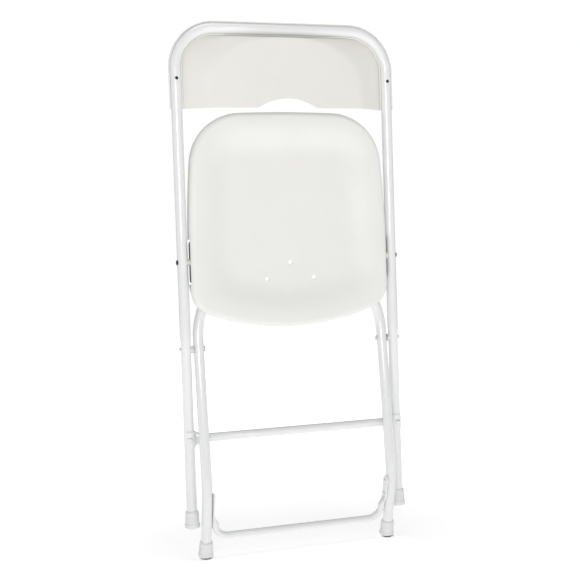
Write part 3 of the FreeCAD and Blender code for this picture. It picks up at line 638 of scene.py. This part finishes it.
# A rib from a straight lower edge up to the seat's inner side, which it sinks into.
def ribUnder(tree, low, high, lowY, across):
    steps = 36
    sink, least, start, reach = 0.6, 0.3, 6, 0.05
    points = []
    for k in range(steps + 1):
        for s in (0.0, 1.0):
            t = k / steps
            along, beside = (t, s) if across else (s, t)
            x = low[0] + (high[0] - low[0]) * along
            v = low[1] + (high[1] - low[1]) * beside
            hit = tree.ray_cast(seatPoint(x, lowY - start, v), Vector((0, 1, 0)), reach)[0]
            top = (hit.y - planeY) / mm + sink if hit else lowY
            points += [(x, lowY, v), (x, max(top, lowY + least), v)]
    faces = []
    for a in range(0, steps * 4, 4):
        b = a + 4
        faces += [(a, a + 2, b + 2, b), (a + 1, b + 1, b + 3, a + 3)]
        faces += [(a, b, b + 1, a + 1), (a + 2, a + 3, b + 3, b + 2)]
    last = steps * 4
    faces += [(0, 1, 3, 2), (last, last + 2, last + 3, last + 1)]
    rib = newPiece("rib", [seatPoint(*p) for p in points], faces, "seat_plastic")
    tidyMesh(rib.data)
    return rib


def makeSeatRibs(seat):
    size = seatSize
    tree = BVHTree.FromObject(seat, bpy.context.evaluated_depsgraph_get())
    inner = size["half"] - size["wall"] + size["sink"]
    padHalf = size["notchHalf"] + size["padSpare"]
    ribs = []
    for side in (1, -1):
        x, half = side * size["railX"], size["ribWide"] / 2
        low, high = (x - half, size["ribFrom"]), (x + half, size["ribTo"])
        ribs.append(ribUnder(tree, low, high, size["ribLow"], False))
        low, high = (side * size["padIn"], -padHalf), (side * inner, padHalf)
        ribs.append(ribUnder(tree, low, high, size["notchTop"], False))
        for v in size["crossRibs"]:
            reach = sideReach(v, size["wall"] - size["sink"])
            low, high = (side * size["crossFrom"], v - size["crossWide"]), (side * reach, v)
            ribs.append(ribUnder(tree, low, high, size["crossLow"], True))
    return ribs


# How far out the drawn-in outline's side is at the height v.
def sideReach(v, inset):
    outline = seatOutline(inset)
    for (x0, v0), (x1, v1) in zip(outline, outline[1:]):
        if x0 > 0 and v0 <= v <= v1 and v0 > seatSize["stepFrom"]:
            return x0 + (x1 - x0) * (v - v0) / (v1 - v0)


seat = makeSeat()
seatWhole = joined("seatShell", [seat] + makeSeatRibs(seat))
tidyMesh(seatWhole.data, turn=False, merge=0.000002)
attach(seatWhole, "seat")
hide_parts("seat_shell")


print("stage: seat brackets")
bracketSize = {
    "inner": 193.3, "outer": 195.3, "low": -9.0, "top": 9.0, "thick": 2.0, "flangeTo": 174.0,
    "half": 38.0, "corner": 7.0, "bend": 2.6, "innerBend": 0.8, "edge": 0.4}


# The angle's cross-section as (x, y) pairs, with its lower corner cut round near both ends.
def bracketSection(v):
    size = bracketSize
    inner, outer, top, flange = (size[k] for k in ("inner", "outer", "top", "flangeTo"))
    bend, innerBend, edge = size["bend"], size["innerBend"], size["edge"]
    under = top - size["thick"]
    reach = max(size["corner"] - (size["half"] - abs(v)), 0.0)
    low = size["low"] + size["corner"] - math.sqrt(max(size["corner"] ** 2 - reach ** 2, 0.0))
    section = [(flange, under), (inner - innerBend, under), (inner, under - innerBend),
               (inner, low + edge), (inner + edge, low), (outer - edge, low), (outer, low + edge)]
    section += [(outer - bend * (1 - math.cos(a)), top - bend * (1 - math.sin(a)))
                for a in (0.0, 0.4, 0.8, 1.2, 1.5708)]
    return section + [(flange + edge, top), (flange, top - edge)]


def makeBrackets():
    half, steps = bracketSize["half"], 48
    points = []
    faces = []
    for side in (1, -1):
        base = len(points)
        for k in range(steps + 1):
            v = -half + 2 * half * k / steps
            section = bracketSection(v)
            points += [seatPoint(side * x, y, v) for x, y in section]
        count = len(section)
        faces += rowFaces(steps + 1, count, base)
        faces += [tuple(start + j for j in range(count)) for start in (base, base + steps * count)]
    brackets = newPiece("seatBrackets", points, faces, "black_steel")
    trianglesAtEnds(brackets)
    tidyMesh(brackets.data)
    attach(brackets, "seat")
    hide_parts("left_seat_bracket", "right_seat_bracket")


makeBrackets()


print("stage: backrest")
panelSize = {                             # millimetres, heights from the front soles
    "half": 209.5, "topZ": 934.5, "bend": 76.0, "low": 784.0, "wall": 2.8, "inner": 10.2, "lip": 1.5,
    "endRound": 0.45, "endRun": 0.5, "rootIn": 12.0, "rootY": -4.0, "sideRun": 2.15, "topRun": 0.29,
    "corner": 64.0, "cornerGrowth": 1.3, "bulge": 24.5, "bulgeSide": 18.0, "crease": 149.5, "ease": 3.0,
    "rise": 36.0, "gripHalf": 58.0, "gripHigh": 17.5, "edgeRound": 0.6, "pivotHigh": 336}
soleZ = legPivot.z - panelSize["pivotHigh"] * mm


def hoopPoint(x, y, z):
    return Vector((x * mm, planeY + y * mm, soleZ + z * mm))


# The panel's lower edge, arched up over the hand hold.
def gripEdge(x):
    size = panelSize
    half, high = size["gripHalf"], size["gripHigh"]
    if abs(x) >= half:
        return size["low"]
    radius = (half * half + high * high) / (2 * high)
    return size["low"] + high - radius + math.sqrt(radius * radius - x * x)


# The smaller of two numbers, eased over where they cross.
def softMin(a, b, ease):
    near = max(ease - abs(a - b), 0.0) / ease
    return min(a, b) - near * near * ease / 4


# How far back the face stands, its side slope eased into its broad bulge.
def panelFaceY(x, rise):
    size = panelSize
    bulge = size["bulge"] - (size["bulge"] - size["bulgeSide"]) * (x / size["crease"]) ** 2
    return softMin(size["rootY"] + rise, bulge, size["ease"])


def makePanelFace():
    size = panelSize
    rows, corners, across, rings = 16, 18, 40, 26
    points = []
    faces = []

    def arch(rise):
        half = size["half"] - size["rootIn"] - size["sideRun"] * rise
        top = size["topZ"] - size["rootIn"] - size["topRun"] * rise
        corner = min(size["corner"] + size["cornerGrowth"] * rise, half - 6.0)
        side = [(half, size["low"] + (top - corner - size["low"]) * k / rows) for k in range(rows)]
        turns = [math.pi / 2 * k / corners for k in range(corners + 1)]
        side += [(half - corner + corner * math.cos(turn), top - corner + corner * math.sin(turn))
                 for turn in turns]
        run = [(side[-1][0] * (1 - 2 * k / across), top) for k in range(1, across)]
        return side + run + [(-x, z) for x, z in reversed(side)]

    def placed(x, z, rise):
        topZ = size["topZ"] - size["rootIn"]
        low = gripEdge(x)
        raised = low + (z - size["low"]) * (topZ - low) / (topZ - size["low"])
        return hoopPoint(x, panelFaceY(x, rise), raised)

    for k in range(rings + 1):
        rise = size["rise"] * (k / rings) ** 1.25
        points += [placed(x, z, rise) for x, z in arch(rise)]
    count = 2 * (rows + corners + 1) + across - 1
    for i in range(rings):
        for j in range(count - 1):
            a = i * count + j
            faces.append((a, a + 1, a + count + 1, a + count))
    inner = arch(size["rise"])
    start = rings * count
    levels = rows + corners + 1
    grid = []                             # the middle, between the last arch's two sides
    for j, (x, z) in enumerate(inner[:levels - 1]):
        row = [start + j] + [len(points) + m for m in range(across - 1)] + [start + count - 1 - j]
        points += [placed(x * (1 - 2 * m / across), z, size["rise"]) for m in range(1, across)]
        grid.append(row)
    grid.append([start + levels - 1 + m for m in range(across + 1)])
    for low, high in zip(grid, grid[1:]):
        faces += [(low[m], low[m + 1], high[m + 1], high[m]) for m in range(across)]
    face = newPiece("panelFace", points, faces, "panel_plastic")
    tidyMesh(face.data, 60)
    if sum(p.normal.y * p.area for p in face.data.polygons) < 0:
        face.data.flip_normals()
    skin = face.modifiers.new("skin", "SOLIDIFY")
    skin.thickness = size["wall"] * mm
    skin.offset = -1
    lip = face.modifiers.new("lip", "BEVEL")
    lip.width = size["edgeRound"] * mm
    lip.segments = 2
    lip.limit_method = "ANGLE"
    lip.angle_limit = math.radians(60)
    return applied(face)


# The hoop's path from one lower end to the other: place, outward direction, distance to the end.
def hoopPath():
    size = panelSize
    z1, r = size["topZ"] - size["bend"], size["bend"]
    x1 = size["half"] - r
    far = 9.0                             # any distance past endRun
    sideSteps, bendSteps, topSteps = 8, 24, 6
    path = [((size["half"], size["low"] + drop), (1, 0), drop) for drop in (0.0, size["endRun"])]
    path += [((size["half"], size["low"] + (z1 - size["low"]) * k / sideSteps), (1, 0), far)
             for k in range(1, sideSteps)]
    for k in range(bendSteps + 1):
        angle = math.pi / 2 * k / bendSteps
        out = (math.cos(angle), math.sin(angle))
        path.append(((x1 + r * out[0], z1 + r * out[1]), out, far))
    path += [((x1 * (1 - k / topSteps), size["topZ"]), (0, 1), far) for k in range(1, topSteps + 1)]
    return path + [((-x, z), (-out[0], out[1]), end) for (x, z), out, end in reversed(path[:-1])]


# Across the channel: (outwards, Y, the direction that a point's face looks in). The front is -Y.
def channelSection():
    size = panelSize
    wall, rIn, rOut = size["wall"], size["inner"], size["inner"] + size["wall"]
    middle, lip = rIn + wall / 2, size["lip"]
    arcSteps, lipSteps = 30, 6
    arc = [(math.cos(-math.pi * k / arcSteps), math.sin(-math.pi * k / arcSteps))
           for k in range(arcSteps + 1)]

    def lipRound(centre):
        turns = [math.pi * k / lipSteps for k in range(1, lipSteps)]
        half = wall / 2
        return [(centre + half * math.cos(turn), lip - 1.1 + half * 0.8 * math.sin(turn), (0, 0))
                for turn in turns]

    section = [(rIn * c, rIn * s, (-c, -s)) for c, s in arc]
    section += [(-rIn, lip - 0.9, (1, 0))] + lipRound(-middle) + [(-rOut, lip - 0.9, (-1, 0))]
    section += [(rOut * c, rOut * s, (c, s)) for c, s in reversed(arc)]
    return section + [(rOut, lip - 0.9, (1, 0))] + lipRound(middle) + [(rIn, lip - 0.9, (-1, 0))]


def makePanelChannel():
    size = panelSize
    section, path = channelSection(), hoopPath()
    points = []
    for (x, z), out, fromEnd in path:
        ease = size["endRound"] * max(0.0, 1 - fromEnd / size["endRun"])
        for a, y, face in section:
            shifted = a - face[0] * ease
            points.append(hoopPoint(x + out[0] * shifted, y - face[1] * ease, z + out[1] * shifted))
    count = len(section)
    faces = rowFaces(len(path), count)
    base = (len(path) - 1) * count
    faces += [tuple(range(count)), tuple(base + j for j in reversed(range(count)))]
    channel = newPiece("panelChannel", points, faces, "panel_plastic")
    trianglesAtEnds(channel)
    tidyMesh(channel.data, 50)
    return channel


backrest = joined("backPanel", [makePanelFace(), makePanelChannel()])
tidyMesh(backrest.data, 45, merge=0.000002, turn=False)
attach(backrest, "front_frame")
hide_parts("back_panel")


print("stage: feet")
footSize = {                              # millimetres above the sole
    "bore": 10.02, "wall": 2.8, "flare": 1.5, "flareHigh": 7.0, "neckHigh": 11.0, "high": 32.0,
    "floor": 6.0, "hollow": 4.5, "hollowDeep": 0.9, "grooves": 3, "grooveFrom": 15.0,
    "grooveStep": 3.2, "grooveDeep": 0.45}


def footTemplate():
    size = footSize
    bore, body = size["bore"], size["bore"] + size["wall"]
    flare, slot = body + size["flare"], body - size["grooveDeep"]
    hollow, deep = size["hollow"], size["hollowDeep"]
    profile = [(0.0, deep), (hollow, deep), (hollow + 0.5, 0.0), (flare, 0.0),
               (flare, size["flareHigh"]), (body, size["neckHigh"])]
    radii = {3: 2.4, 4: 2.2, 5: 3.0}
    for k in range(size["grooves"]):
        z = size["grooveFrom"] + size["grooveStep"] * k
        profile += [(body, z), (slot, z + 0.5), (slot, z + 1.1), (body, z + 1.6)]
    top = len(profile)
    profile += [(body, size["high"] - 5.0), (bore + 1.5, size["high"]), (bore, size["high"]),
                (bore, size["floor"]), (0.0, size["floor"])]
    radii.update({top: 2.5, top + 1: 0.7})
    shape = rounded([(r * mm, z * mm) for r, z in profile], {k: r * mm for k, r in radii.items()})
    return lathed("footTemplate", shape, 64, "foot_plastic")


foot = footTemplate()
mounts = {mount["name"]: mount for mount in record["mounts"]}
for pair, body in (("front", "front_frame"), ("rear", "rear_legs")):
    soles = [mounts[f"{side}_{pair}_sole"] for side in ("left", "right")]
    places = [(mount["pos_m"], -Vector(mount["axis"])) for mount in soles]
    replaced = [f"left_{pair}_foot", f"right_{pair}_foot"]
    copies(pair + "Feet", foot, places, body, "foot_plastic", replaced)
bpy.data.objects.remove(foot)


print("stage: rivets and screws")
fastenerSize = {                          # millimetres from the face that the head sits on
    "rivetHead": 4.5, "rivetHigh": 2.0, "rivetShaft": 2.5, "rivetDeep": 5.4, "dimple": 0.7,
    "dimpleDeep": 0.12, "screwHead": 3.5, "screwHigh": 2.0, "screwShaft": 1.8, "screwDeep": 4.0,
    "crossLong": 2.1, "crossWide": 0.42, "crossDeep": 1.3}


# A domed head's profile, from the given height of its rim up to its top.
def dome(head, high, rim, turns):
    return [(head * math.sin(a), rim + (high - rim) * math.cos(a)) for a in turns]


def rivetTemplate():
    size = fastenerSize
    high, shaft, deep = size["rivetHigh"], size["rivetShaft"], -size["rivetDeep"]
    dimple, floor = size["dimple"], high - size["dimpleDeep"]
    profile = [(0.0, floor), (dimple, floor), (dimple + 0.4, high)]
    profile += dome(size["rivetHead"], high, 0.35, (0.42, 0.65, 0.9, 1.12, 1.3, 1.45, 1.5708))
    profile += [(size["rivetHead"], 0.0), (shaft, 0.0), (shaft, deep), (0.0, deep)]
    return lathed("rivetTemplate", [(r * mm, z * mm) for r, z in profile], 40, "zinc_steel")


def screwTemplate():
    size = fastenerSize
    high, shaft, deep = size["screwHigh"], size["screwShaft"], -size["screwDeep"]
    profile = [(0.0, high)]
    profile += dome(size["screwHead"], high, 0.5, (0.2, 0.4, 0.62, 0.85, 1.08, 1.28, 1.44, 1.5708))
    profile += [(size["screwHead"], 0.0), (shaft, 0.0), (shaft, deep), (0.0, deep - 0.6)]
    screw = lathed("screwTemplate", [(r * mm, z * mm) for r, z in profile], 40, "black_steel")
    bars = []
    long, wide = size["crossLong"] * mm, size["crossWide"] * mm
    for x, y in ((long, wide), (wide, long)):
        low, top = (high - size["crossDeep"]) * mm, (high + 1) * mm
        bars.append(boxPiece("crossCutter", (-x, -y, low), (x, y, top), "black_steel"))
    cutAway(screw, bars)
    tidyMesh(screw.data, 40, turn=False)
    return screw


# The box and middle of each separate fastener in a node that holds several.
def endsOf(node, count):
    apart = 0.016
    groups = []
    for v in frame["nodes"][node].data.vertices:
        for group in groups:
            if (group[0] - v.co).length < apart:
                group.append(v.co.copy())
                break
        else:
            groups.append([v.co.copy()])
    assert len(groups) == count, (node, len(groups))
    boxes = []
    for group in groups:
        low = Vector([min(p[i] for p in group) for i in range(3)])
        high = Vector([max(p[i] for p in group) for i in range(3)])
        boxes.append((low, high, (low + high) / 2))
    return boxes


rivet = rivetTemplate()
screw = screwTemplate()
rivetHigh = fastenerSize["rivetHigh"] * mm
screwHigh = fastenerSize["screwHigh"] * mm
places = []
for low, high, middle in endsOf("crossbar_rivets", 2):
    places.append(((middle.x, high.y - rivetHigh, middle.z), (0, 1, 0)))
copies("crossbarRivets", rivet, places, "front_frame", "zinc_steel", ["crossbar_rivets"])
places = []
smaller = 0.9
for low, high, middle in endsOf("rear_brace_rivets", 4):
    side = 1 if middle.x > 0 else -1
    inner = low.x if side > 0 else high.x
    places.append(((inner + side * smaller * rivetHigh, middle.y, middle.z), (-side, 0, 0)))
copies("braceRivets", rivet, places, "rear_legs", "zinc_steel", ["rear_brace_rivets"], size=smaller)
low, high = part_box("back_panel_screws")
places = []
for side in (1, -1):
    place = (side * panelSize["half"] * mm, high.y - screwHigh, (low.z + high.z) / 2)
    places.append((place, (0, 1, 0)))
copies("panelScrews", screw, places, "front_frame", "black_steel", ["back_panel_screws"],
       size=0.86, spin=1.2, seed=4)
places = []
for low, high, middle in endsOf("seat_bracket_screws", 4):
    places.append(((middle.x, low.y + screwHigh, middle.z), (0, -1, 0)))
copies("bracketScrews", screw, places, "seat", "zinc_steel", ["seat_bracket_screws"], spin=1.4, seed=9)
for template in (rivet, screw):
    bpy.data.objects.remove(template)


print("stage: stage and light")
stageSize = {
    "floorRadius": 5.0, "wallHigh": 7.0, "wallGlow": 1.02, "floorGlow": 0.46, "world": 0.39,
    "cameraAt": (0.606651, 1.922606, 0.587358), "turn": 17.44599, "pitch": 2.46599, "roll": -1.91356,
    "lens": 65.1724}
lights = {
    "key": {"place": (1.45, 4.05, 1.1), "aim": (0, 0, 0.55), "size": (1.2, 0.9), "power": 34.5},
    "strip": {"place": (-0.8, 3.4, 0.9), "aim": (0, 0, 0.6), "size": (0.06, 2.2), "power": 3.2},
    "top": {"place": (0.2, 0.3, 3.0), "aim": (0, 0, 0.5), "size": (1.6, 1.2), "power": 13.0}}


def floorFinish():
    paper = Finish("paleFloor", {"Roughness": 0.7, "Specular IOR Level": 0.1, "Emission Strength": 1.0})
    cloud = paper.noise(1.5, 3.0)
    far = paper.node("ShaderNodeVectorMath", {"operation": "LENGTH"}, {0: paper.place}, "Value")
    glow = paper.ramp(far * 0.25, [(0.06, stageSize["floorGlow"]), (0.5, 0.95)])
    tone = paper.between(cloud, (0.92, 0.92, 0.92, 1), (0.94, 0.94, 0.94, 1))
    return paper.finish(colour=tone, glow=glow)


def backdropFinish():
    paper = Finish("whiteBackdrop", {
        "Base Color": (0, 0, 0, 1), "Specular IOR Level": 0, "Emission Color": (1, 1, 1, 1),
        "Emission Strength": stageSize["wallGlow"]})
    return paper.material


# A round floor, and a backdrop round it that only the camera sees.
def makeFloor():
    radius, high, steps = stageSize["floorRadius"], stageSize["wallHigh"], 96
    turns = [2 * math.pi * k / steps for k in range(steps)]
    rim = [(radius * math.cos(turn), radius * math.sin(turn)) for turn in turns]
    pairs = [(k, (k + 1) % steps) for k in range(steps)]
    floorMesh = bpy.data.meshes.new("floor")
    points = [(x, y, 0.0) for x, y in rim] + [(0, 0, 0)]
    floorMesh.from_pydata(points, [], [(a, b, steps) for a, b in pairs])
    wallMesh = bpy.data.meshes.new("backdrop")
    points = [(x, y, z) for z in (0.0, high) for x, y in rim] + [(0, 0, high)]
    faces = [(b, a, a + steps, b + steps) for a, b in pairs]
    faces += [(b + steps, a + steps, 2 * steps) for a, b in pairs]
    wallMesh.from_pydata(points, [], faces)
    floor = linked("floor", floorMesh, floorFinish())
    backdrop = linked("backdrop", wallMesh, backdropFinish())
    for seen in ("visible_diffuse", "visible_glossy", "visible_transmission", "visible_shadow"):
        setattr(backdrop, seen, False)


def areaLight(name, place, aim, size, power):
    data = bpy.data.lights.new(name, "AREA")
    data.shape = "RECTANGLE"
    data.size, data.size_y = size
    data.energy = power
    light = linked(name, data)
    facing = (Vector(place) - Vector(aim)).to_track_quat("Z", "Y").to_matrix().to_4x4()
    light.matrix_world = Matrix.Translation(place) @ facing
    light.visible_camera = False


def makeCamera():
    size = stageSize
    turn, pitch, roll = (math.radians(size[k]) for k in ("turn", "pitch", "roll"))
    level = math.cos(pitch)
    forward = Vector((-math.sin(turn) * level, -math.cos(turn) * level, -math.sin(pitch)))
    right = Vector((-math.cos(turn), math.sin(turn), 0))
    up = right.cross(forward)
    axisX = right * math.cos(roll) + up * math.sin(roll)
    axisY = up * math.cos(roll) - right * math.sin(roll)
    matrix = Matrix((axisX, axisY, -forward)).transposed().to_4x4()
    matrix.translation = Vector(size["cameraAt"])
    data = bpy.data.cameras.new("camera")
    data.sensor_width = 36
    data.lens = size["lens"]
    camera = linked("camera", data)
    camera.matrix_world = matrix
    bpy.context.scene.camera = camera


makeFloor()
makeCamera()
for name, light in lights.items():
    areaLight(name, **light)
world = bpy.data.worlds.new("studio")
bpy.context.scene.world = world
world.use_nodes = True
sky = world.node_tree.nodes["Background"]
sky.inputs["Color"].default_value = (1, 1, 1, 1)
sky.inputs["Strength"].default_value = stageSize["world"]
bpy.context.scene.view_settings.view_transform = "Standard"

print("stage: done")
